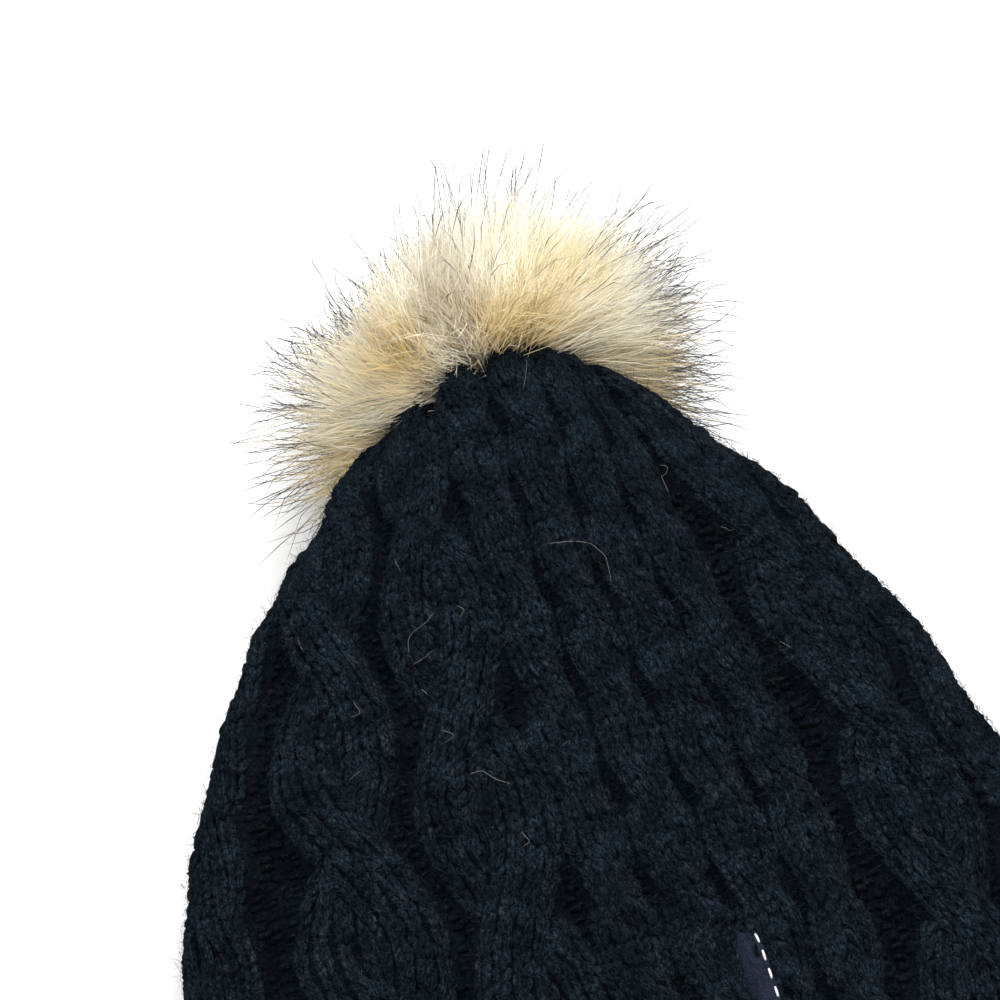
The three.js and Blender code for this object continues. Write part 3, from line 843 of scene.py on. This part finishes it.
def fur_material(name, stops, spread):
    """Fur coloured along each hair, with locks of paler and darker tone, golden patches of its own colour,
    grey patches of painted shade and pale patches of painted light.
    """
    material, tree, shader = node_material(name)
    jitter = noise_on_object(tree, 90, detail=2).outputs["Fac"]
    uneven = add_math(tree, "ADD", jitter, read_attribute(tree, "tone"))
    shift = add_math(tree, "MULTIPLY_ADD", uneven, spread, -spread)
    colour = colour_ramp(tree, add_math(tree, "ADD", read_attribute(tree, "reach"), shift), stops)
    place = object_place(tree)
    for middle, radius, tint in FUR_TINTS_AND_PAINTED_LIGHT:
        distance = add_node(tree, "ShaderNodeVectorMath", {0: place, 1: middle}, operation="DISTANCE")
        near = add_node(tree, "ShaderNodeMapRange",
                        {"Value": distance.outputs["Value"], "From Min": 1.4 * radius,
                         "From Max": 0.3 * radius}, interpolation_type="SMOOTHSTEP")
        colour = mix_colours(tree, near.outputs["Result"], colour, (*tint, 1), "MULTIPLY")
    feed(tree, shader, {"Base Color": colour, "Roughness": 0.5, "Specular IOR Level": 0.35,
                        "Sheen Weight": 0.1})
    return material


wool = wool_material("brushed_yarn", 1.0, has_grain=True)
# The yarn at 0.3 of its colour is painted shade: it dresses the ground fabric seen between the stitches,
# the band's body and the tie under the pompom.
wool_painted_shade = wool_material("yarn_in_shadow", 0.3)
# The purl in the gutters takes the yarn at 0.6 of its colour: painted shade in the sunken gutters between
# the cables.
gutter_painted_shade = wool_material("yarn_painted_shade_in_gutters", 0.6, has_grain=True)
# The fuzz is the yarn at 2.2 times its colour: painted sheen of light caught on loose fibres.
fuzz_painted_sheen = wool_material("yarn_fuzz", 2.2)
fur_under = fur_material(
    "fur_underwool",
    [(0.0, (0.78, 0.62, 0.36)), (0.2, (0.83, 0.70, 0.44)), (0.42, (0.85, 0.76, 0.53)),
     (0.65, (0.86, 0.81, 0.66)), (1.0, (0.86, 0.84, 0.76))], 0.5)
fur_guard = fur_material(
    "fur_guard_hair",
    [(0.0, (0.75, 0.6, 0.4)), (0.4, (0.82, 0.72, 0.5)), (0.58, (0.6, 0.54, 0.42)),
     (0.68, (0.04, 0.038, 0.042)), (1.0, (0.006, 0.006, 0.012))], 0.25)

# Crown and band

# The body between the stitches wears the painted shade.
body = crown_shell(wool_painted_shade)
tree = stitch_tree(wool)
fine_knit = knit_stitch("fine_knit_stitch", 5, 2, 9, 1)
plain_knit = knit_stitch("plain_knit_stitch", 4, 2, 4, 2)
purl = purl_stitch("purl_stitch", 4, 2)
crown_pieces = [body]
for panel in PANELS:
    stitch = fine_knit if panel["fine"] else plain_knit
    frames = strand_stitches(cables_of(panel))
    crown_pieces.append(set_stitches(f"{panel['name']}_{panel['kind']}", frames, stitch, tree))
crown_pieces.append(set_stitches("gutter_purl", gutter_stitches(), purl, stitch_tree(gutter_painted_shade)))
for piece in crown_pieces:
    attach(piece, "root")
    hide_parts("crown_knit")

# The band's body under its rib wears the painted shade.
band_pieces = [band_shell(wool_painted_shade),
               set_stitches("band_knit", band_stitches(True), plain_knit, tree),
               set_stitches("band_purl", band_stitches(False), purl, tree)]
for piece in band_pieces:
    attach(piece, "root")
    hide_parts("brim_rib_band")
remove_objects([fine_knit, plain_knit, purl])


# Fuzz and fur

def fibre_lock(name, seed, strands, rings, root_spread, tip_spread, bend, radius, taper=0.55):
    """A lock of tapered fibres, one unit long along +Z, that all bend the same way."""
    draw = np.random.default_rng(seed)
    lock_bend = draw.normal(0, bend, 2)
    shapes = []
    lock_tone = draw.uniform(0, 1)
    share = np.linspace(0, 1, rings + 2)
    for _ in range(strands):
        root = draw.uniform(-root_spread, root_spread, 2)
        tip = draw.uniform(-tip_spread, tip_spread, 2)
        path = np.zeros((rings + 2, 3))
        path[:, :2] = root + np.outer(share, tip - root) + np.outer(share**2, lock_bend)
        path[:, :2] += np.outer(np.sin(math.pi * share), draw.normal(0, 0.25 * bend, 2))
        path[:, 2] = share * draw.uniform(0.7, 1.0)
        shapes.append(spindle(path, radius * (1 - taper * share[1:-1])))
    lock = join_shapes(name, shapes)
    reach = np.concatenate([share[:1], np.repeat(share[1:-1], 3), share[-1:]])
    tone = np.repeat(0.6 * lock_tone + 0.4 * draw.uniform(0, 1, strands), len(reach))
    for key, values in (("reach", np.tile(reach, strands)), ("tone", tone)):
        lock.data.attributes.new(key, "FLOAT", "POINT").data.foreach_set("value", values)
    return lock


TUFT_SCALE = 38.0
FIBRE_SETTINGS = [
    ("Density", "Float", 100.0), ("Seed", "Int", 1), ("Shortest", "Float", 0.02),
    ("Longest", "Float", 0.03), ("Tilt", "Float", 0.3), ("Sweep", "Float", 0.3),
    ("Comb", "Vector", (0.0, 0.0, 0.0)), ("Lean", "Float", 0.0), ("Forward", "Float", -1.0),
    ("Uneven", "Float", 0.0),
]


def fibre_tree(name, locks, material):
    """Scatters locks of fibres over a surface: along its normal with a random tilt, turn and length.

    Tilt is how far a lock strays, Sweep how far the broad tufts of neighbours stray together, Comb the
    way that all are combed, Lean how far the locks on top lie toward +Y, Forward the least that any may
    point along +Y, and Uneven how much longer some tufts are.
    """
    tree = bpy.data.node_groups.new(name, "GeometryNodeTree")
    add_socket(tree, "Surface", "Geometry")
    for socket, kind, default in FIBRE_SETTINGS:
        add_socket(tree, socket, kind, default=default)
    add_socket(tree, "Geometry", "Geometry", is_input=False)
    given = tree.nodes.new("NodeGroupInput").outputs
    scatter = add_node(tree, "GeometryNodeDistributePointsOnFaces",
                       {"Mesh": given["Surface"], "Density": given["Density"], "Seed": given["Seed"]})
    place = tree.nodes.new("GeometryNodeInputPosition").outputs["Position"]
    tuft = add_node(tree, "ShaderNodeTexNoise", {"Vector": place, "Scale": TUFT_SCALE, "Detail": 1})
    centred = vector_math(tree, "SUBTRACT", tuft.outputs["Color"], (0.5, 0.5, 0.5))
    upward = add_node(tree, "ShaderNodeSeparateXYZ", {0: scatter.outputs["Normal"]}).outputs["Z"]
    back = add_node(tree, "ShaderNodeCombineXYZ", {"Y": add_math(tree, "MULTIPLY", upward, given["Lean"])})
    aim = scatter.outputs["Normal"]
    for part in (vector_math(tree, "SCALE", random_direction(tree, given["Seed"]), given["Tilt"]),
                 vector_math(tree, "SCALE", centred, given["Sweep"]),
                 back.outputs["Vector"], given["Comb"]):
        aim = vector_math(tree, "ADD", aim, part)
    least = add_node(tree, "ShaderNodeCombineXYZ", {"X": -10, "Y": given["Forward"], "Z": -10})
    aim = vector_math(tree, "MAXIMUM", aim, least.outputs["Vector"])
    turn = add_node(tree, "FunctionNodeAxesToRotation",
                    {"Primary Axis": aim, "Secondary Axis": random_direction(tree, 7)},
                    primary_axis="Z", secondary_axis="X")
    size = add_node(tree, "FunctionNodeRandomValue",
                    {2: given["Shortest"], 3: given["Longest"], "Seed": 11}, data_type="FLOAT")
    middle = add_math(tree, "SUBTRACT", tuft.outputs["Fac"], 0.5)
    uneven = add_math(tree, "MULTIPLY_ADD", middle, given["Uneven"], 1)
    shapes = add_node(tree, "GeometryNodeCollectionInfo",
                      {"Collection": locks, "Separate Children": True, "Reset Children": True})
    plant = add_node(tree, "GeometryNodeInstanceOnPoints",
                     {"Points": scatter.outputs["Points"], "Instance": shapes.outputs["Instances"],
                      "Pick Instance": True, "Rotation": turn.outputs["Rotation"],
                      "Scale": add_math(tree, "MULTIPLY", size.outputs[1], uneven)})
    return finish_tree(tree, plant.outputs["Instances"], material)


def lock_collection(name, objects):
    collection = bpy.data.collections.new(name)
    for piece in objects:
        bpy.context.collection.objects.unlink(piece)
        collection.objects.link(piece)
    return collection


def grow_fibres(name, surface, locks, material, count, reach=None, **values):
    """Grows count locks on a surface and removes the locks that were copied; reach is for the fur."""
    settings = {key.capitalize(): value for key, value in values.items()}
    settings["Density"] = count / sum(p.area for p in surface.data.polygons)
    collection = lock_collection(name + "_locks", locks)
    piece = run_tree(surface, fibre_tree("grow_" + name, collection, material), settings, name)
    remove_objects(locks)
    finish_yarn(piece, reach=reach)
    return piece


def open_sheet(name, points, rows, columns):
    """A sheet of rings, open at both ends, that keeps only what lies clear of the floor."""
    faces = ring_faces(rows, columns)
    clear = points[faces].mean(axis=1)[:, 2] > 5 * MM
    return mesh_piece(name, points, faces[clear])


def yarn_surface():
    """The crests of the crown's relief and of the rib, as the surface that fuzz grows on."""
    columns = 258
    turn = np.arange(columns) / columns
    rings = []
    for length in np.linspace(0.8 * fabric.lip, fabric.end, 90):
        height = rib_height(turn) if length > fabric.crown_end else crown_relief(turn, length)
        rings.append(fabric_ring(turn, length, height - 0.2 * MM))
    return open_sheet("yarn_surface", np.concatenate(rings), len(rings), columns)


FRONT_FACE = FAR_END + 1.8 * MM


def pompom_core(material):
    """The padded backing that the fur grows from: a dome with a flat front."""
    rings, columns = 22, 48
    inside = POMPOM_CENTRE + Vector((0, ROOT_RADIUS / 2, 0))
    polar = np.linspace(0, math.pi, rings + 2)[1:-1]
    around = np.arange(columns) / columns * 2 * math.pi
    p, a = np.meshgrid(polar, around, indexing="ij")
    aim = np.stack([np.sin(p) * np.cos(a), np.cos(p), np.sin(p) * np.sin(a)], -1).reshape(-1, 3)
    aim = np.vstack([[(0, 1, 0)], aim, [(0, -1, 0)]])
    offset = np.array(inside - POMPOM_CENTRE)
    along = aim @ offset
    to_ball = np.sqrt(along**2 - offset @ offset + ROOT_RADIUS**2) - along
    to_front = np.where(aim[:, 1] < 0, (FRONT_FACE - inside.y) / np.minimum(aim[:, 1], -1e-9), 9)
    points = np.array(inside) + aim * np.minimum(to_ball, to_front)[:, None]
    last = 1 + (rings - 1) * columns
    faces = [tuple(f[::-1]) for f in ring_faces(rings, columns, start=1)]
    for k in range(columns):
        n = (k + 1) % columns
        faces.append((0, 1 + n, 1 + k))
        faces.append((last + k, last + n, len(points) - 1))
    core = mesh_piece("pompom_backing", points, faces, material)
    outward = sum(p.normal.dot(p.center - inside) for p in core.data.polygons)
    if outward < 0:
        core.data.flip_normals()
    return core


def fur_surface(core, wanted=None):
    """The round of the backing without its front, or the wanted part of it, to grow fur on."""
    points = np.array([v.co[:] for v in core.data.vertices])
    keep = [tuple(p.vertices) for p in core.data.polygons
            if p.center.y > FRONT_FACE + 0.2 * MM and (wanted is None or wanted(p))]
    used = sorted({i for face in keep for i in face})
    index = {old: new for new, old in enumerate(used)}
    return mesh_piece("fur_surface", points[used], [tuple(index[i] for i in face) for face in keep])


def collar_surface():
    """A short ring just behind the gathered end, as the surface that the fur's collar grows on."""
    columns = 48
    around = np.arange(columns) / columns * 2 * math.pi
    radius = 16 * MM
    across, up = radius * np.cos(around), POMPOM_CENTRE.z + radius * np.sin(around)
    points = np.concatenate([np.stack([across, np.full(columns, y), up], -1)
                             for y in (FRONT_FACE - 1 * MM, FRONT_FACE + 5 * MM)])
    faces = ring_faces(2, columns)
    faces = faces[points[faces].mean(axis=1)[:, 2] > 34 * MM]
    ring = mesh_piece("collar_surface", points, faces)
    if ring.data.polygons[0].normal.dot(ring.data.polygons[0].center - POMPOM_CENTRE) < 0:
        ring.data.flip_normals()
    return ring


def fuzz_locks():
    return [fibre_lock(f"fuzz_{k}", 20 + k, 4, 1, 0.25, 0.6, 0.3, 0.014) for k in range(6)]


def inner_fur_locks():
    return [fibre_lock(f"inner_fur_{k}", 40 + k, 8, 1, 0.1, 0.06, 0.18, 0.0036) for k in range(9)]


def outer_fur_locks():
    return [fibre_lock(f"outer_fur_{k}", 60 + k, 4, 2, 0.06, 0.045, 0.24, 0.0027) for k in range(9)]


def guard_hair_locks():
    return [fibre_lock(f"guard_hair_{k}", 80 + k, 2, 3, 0.04, 0.12, 0.18, 0.0021, 0.1) for k in range(9)]


surface = yarn_surface()
fuzz = grow_fibres("yarn_fuzz", surface, fuzz_locks(), fuzz_painted_sheen, count=3200, seed=2,
                   shortest=2.5 * MM, longest=6 * MM, tilt=1.3, sweep=0.0, forward=-10.0)
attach(fuzz, "root")
remove_objects([surface])

core = pompom_core(fur_under)
fur = {"tilt": 0.12, "sweep": 2.2, "comb": (0.3, 0.04, -0.3), "lean": 0.35, "forward": -0.14, "uneven": 1.2}
surface = fur_surface(core)
fur_pieces = [
    grow_fibres("pompom_inner_fur", surface, inner_fur_locks(), fur_under, count=2700, seed=3,
                shortest=42 * MM, longest=56 * MM, reach=62 * MM, **fur),
    grow_fibres("pompom_outer_fur", surface, outer_fur_locks(), fur_under, count=3050, seed=5,
                shortest=50 * MM, longest=70 * MM, reach=66 * MM, **fur),
]
remove_objects([surface])
surface = collar_surface()
fur_pieces.append(grow_fibres("pompom_collar_fur", surface, inner_fur_locks(), fur_under, count=760, seed=4,
                              shortest=34 * MM, longest=48 * MM, reach=58 * MM,
                              **(fur | {"lean": 0.0, "forward": -0.2, "comb": (0.05, -0.04, -0.1)})))
remove_objects([surface])
hair = fur | {"tilt": 0.25, "shortest": 60 * MM, "longest": 92 * MM, "reach": 77 * MM}
sides = (("top", None, 560, 7),
         ("right", lambda face: face.normal.x > 0.6 and face.normal.z < 0.6, 640, 8),
         ("left", lambda face: face.normal.x < -0.3 and face.normal.z < 0.2, 560, 9))
for part, wanted, count, seed in sides:
    surface = fur_surface(core, wanted)
    fur_pieces.append(grow_fibres("pompom_guard_hair_" + part, surface, guard_hair_locks(), fur_guard,
                                  count=count, seed=seed, **hair))
    remove_objects([surface])
for piece in [core] + fur_pieces:
    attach(piece, "root")
    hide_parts("pompom")


# Label and tie

LABEL = {"width": 8 * MM, "length": 36 * MM, "thick": 0.4 * MM, "start_row": 72, "across": 3.2}
LABEL_HEIGHTS = (1.2 * MM, 4.2 * MM, 6.0 * MM)
LABEL_RISE = 14 * MM
FLATNESS = 0.71
WALE = 2 * math.pi * WIDEST_HALF * FLATNESS / STITCHES
DASH_STEP = 5.4 * MM
DASH_ACROSS = 0.86


def satin_material(name):
    """Plain dark satin ribbon: fine weave and a soft gloss."""
    material, tree, shader = node_material(name)
    weave = noise_on_object(tree, 2500, detail=2)
    stops = [(0.42, (0.004, 0.0055, 0.012)), (0.58, (0.012, 0.016, 0.033))]
    feed(tree, shader, {"Base Color": colour_ramp(tree, weave.outputs["Fac"], stops),
                        "Roughness": 0.55, "Specular IOR Level": 0.1})
    add_bump(tree, shader, weave, 0.4, 0.2 * MM)
    return material


def thread_material(name, colour):
    """Pale sewing thread with a faint twist."""
    material, tree, shader = node_material(name)
    twist = noise_on_object(tree, 2000, detail=2).outputs["Fac"]
    stops = [(0.3, tuple(0.7 * c for c in colour)), (0.6, colour)]
    feed(tree, shader, {"Base Color": colour_ramp(tree, twist, stops), "Roughness": 0.6})
    return material


def label_place(share_across, length):
    """A place on the label, whose left edge lies in the groove and whose right edge on the next rope."""
    half_turn = LABEL["width"] / 2 / WALE / STITCHES
    turn = LABEL["across"] / STITCHES + share_across * half_turn + lean(length)
    height = np.interp(share_across, (-1, 0, 1), LABEL_HEIGHTS)
    height = height * (0.15 + 0.85 * smooth(length - LABEL["start_row"] * ROW, 0, LABEL_RISE))
    return fabric.place(np.atleast_1d(turn), np.atleast_1d(length), np.atleast_1d(height))[0]


def woven_label(material):
    """The ribbon, closed round its edges and ends."""
    start = LABEL["start_row"] * ROW
    lengths = np.linspace(start, start + LABEL["length"], 25)
    shares = np.linspace(-1, 1, 9)
    top = np.array([[label_place(s, length) for s in shares] for length in lengths])
    across = np.gradient(top, axis=1)
    along = np.gradient(top, axis=0)
    out = np.cross(across, -along)
    out /= np.linalg.norm(out, axis=-1, keepdims=True)
    low = top - out * LABEL["thick"]
    rings = np.concatenate([top, low[:, ::-1]], axis=1)
    rows, columns = rings.shape[:2]
    faces = [tuple(f) for f in ring_faces(rows, columns)]
    faces += [tuple(range(columns)), tuple(range((rows - 1) * columns, rows * columns))[::-1]]
    return mesh_piece("woven_label_ribbon", rings.reshape(-1, 3), faces, material, is_smooth=False)


def edge_stitches(material):
    """The dashes of pale thread along the label's right edge."""
    dashes = []
    start = LABEL["start_row"] * ROW
    for begin in np.arange(start + 9 * MM, start + LABEL["length"] - 3 * MM, DASH_STEP):
        lengths = begin + np.array([0, 0.4, 1.7, 3.0, 3.4]) * MM
        path = np.array([label_place(DASH_ACROSS, length) for length in lengths])
        path[:, 2] += np.array([-0.3, 0.15, 0.25, 0.15, -0.3]) * MM
        dashes.append(yarn_tube(path, [0.3 * MM, 0.38 * MM, 0.3 * MM], 6))
    piece = join_shapes("label_edge_stitches", dashes)
    piece.data.materials.append(material)
    return piece


# Pale loose hairs caught on the wool, as paths in stitches from the middle of the top and rows
LOOSE_HAIRS = [
    [(-0.5, 34.6), (1.5, 34.8), (3.2, 35.0), (3.8, 37.0), (3.5, 39.6)],
    [(3.5, 9.8), (1.8, 14.6), (0.8, 17.2)],
    [(-10.5, 38.5), (-11.2, 39.6), (-12.8, 40.4), (-13.0, 42.2)],
    [(-11.2, 42.4), (-12.0, 43.0), (-13.0, 43.3)],
    [(-17.5, 45.1), (-17.2, 46.7), (-18.0, 46.7)],
    [(-12.0, 50.6), (-11.0, 51.6), (-12.0, 52.1)],
    [(-10.8, 55.3), (-9.8, 55.0), (-9.2, 56.2), (-8.2, 57.2)],
    [(-17.8, 51.9), (-19.0, 52.4)],
    [(13.2, 25.8), (13.4, 27.2), (11.6, 28.6), (12.0, 30.4)],
    [(15.2, 33.7), (15.8, 35.0)],
    [(-8.8, 38.8), (-8.2, 39.6), (-8.8, 40.3)],
    [(-8.5, 61.6), (-8.2, 62.9), (-8.8, 63.3)],
    [(-12.8, 45.6), (-12.2, 46.6)],
    [(14.0, 47.5), (14.5, 48.7)],
    [(-21.5, 36.6), (-21.0, 38.2)],
    [(-12.8, 32.4), (-12.5, 34.2)],
]


def loose_hairs(material):
    """Fine pale hairs that lie on the highest yarn along their paths, with a slight curl."""
    draw = np.random.default_rng(31)
    shapes = []
    for corners in LOOSE_HAIRS:
        corners = np.array(corners)
        steps = 4 * (len(corners) - 1) + 1
        at = np.linspace(0, len(corners) - 1, steps)
        across, rows = [np.interp(at, np.arange(len(corners)), column) for column in corners.T]
        across[1:-1] += draw.normal(0, 0.09, steps - 2)
        length = rows * ROW
        height = strand_height(across, length) * relief_share(length) + 0.9 * MM
        path = fabric.place(across / STITCHES + lean(length), length, height)
        path[1:-1] = (path[:-2] + 2 * path[1:-1] + path[2:]) / 4
        shapes.append(yarn_tube(path, np.full(steps - 2, 0.075 * MM), 3))
    piece = join_shapes("loose_hairs", shapes)
    piece.data.materials.append(material)
    return piece


hairs = loose_hairs(thread_material("pale_hair", (0.16, 0.155, 0.135)))
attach(hairs, "root")

label = woven_label(satin_material("black_satin"))
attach(label, "root")
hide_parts("woven_label")
dashes = edge_stitches(thread_material("pale_thread", (0.75, 0.75, 0.74)))
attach(dashes, "root")
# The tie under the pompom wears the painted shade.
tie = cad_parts["pompom_tie"]
tie.data.materials.clear()
tie.data.materials.append(wool_painted_shade)


# Stage, light and camera

def plain_material(name, colour, roughness):
    material, tree, shader = node_material(name)
    feed(tree, shader, {"Base Color": (*colour, 1), "Roughness": roughness})
    return material


FLOOR_REACH = 6.0
FLOOR_DROP = 0.4 * MM


def add_floor():
    reach = FLOOR_REACH
    corners = [(-reach, -reach, 0), (reach, -reach, 0), (reach, reach, 0), (-reach, reach, 0)]
    floor = mesh_piece("floor", corners, [(0, 1, 2, 3)], plain_material("pale_floor", (0.9, 0.9, 0.9), 0.7))
    floor.location.z = -FLOOR_DROP


def add_area_light(name, place, target, size, power):
    light = bpy.data.lights.new(name, "AREA")
    light.shape = "DISK"
    light.size = size
    light.energy = power
    lamp = bpy.data.objects.new(name, light)
    bpy.context.collection.objects.link(lamp)
    lamp.location = place
    lamp.rotation_euler = (Vector(target) - Vector(place)).to_track_quat("-Z", "Y").to_euler()


def add_camera(azimuth, elevation, distance, target, angle):
    a, e = math.radians(azimuth), math.radians(elevation)
    back = Vector((math.sin(a) * math.cos(e), -math.cos(a) * math.cos(e), math.sin(e)))
    data = bpy.data.cameras.new("camera")
    data.angle = math.radians(angle)
    camera = bpy.data.objects.new("camera", data)
    bpy.context.collection.objects.link(camera)
    camera.location = Vector(target) + back * distance
    camera.rotation_euler = (-back).to_track_quat("-Z", "Y").to_euler()
    bpy.context.scene.camera = camera


add_floor()
add_area_light("key", (0.2, 0.42, 0.62), (0, 0.09, 0.05), 0.45, 4.5)
add_area_light("fill", (-0.25, -0.32, 0.95), (0, 0.06, 0.03), 0.8, 8.2)
world = bpy.data.worlds.new("studio")
bpy.context.scene.world = world
world.use_nodes = True
world.node_tree.nodes["Background"].inputs["Color"].default_value = (1, 1, 1, 1)
world.node_tree.nodes["Background"].inputs["Strength"].default_value = 0.68
bpy.context.scene.view_settings.view_transform = "Standard"
add_camera(-13.5, 50, 0.9, (-0.0136, 0.0683, 0.0931), 17.7)
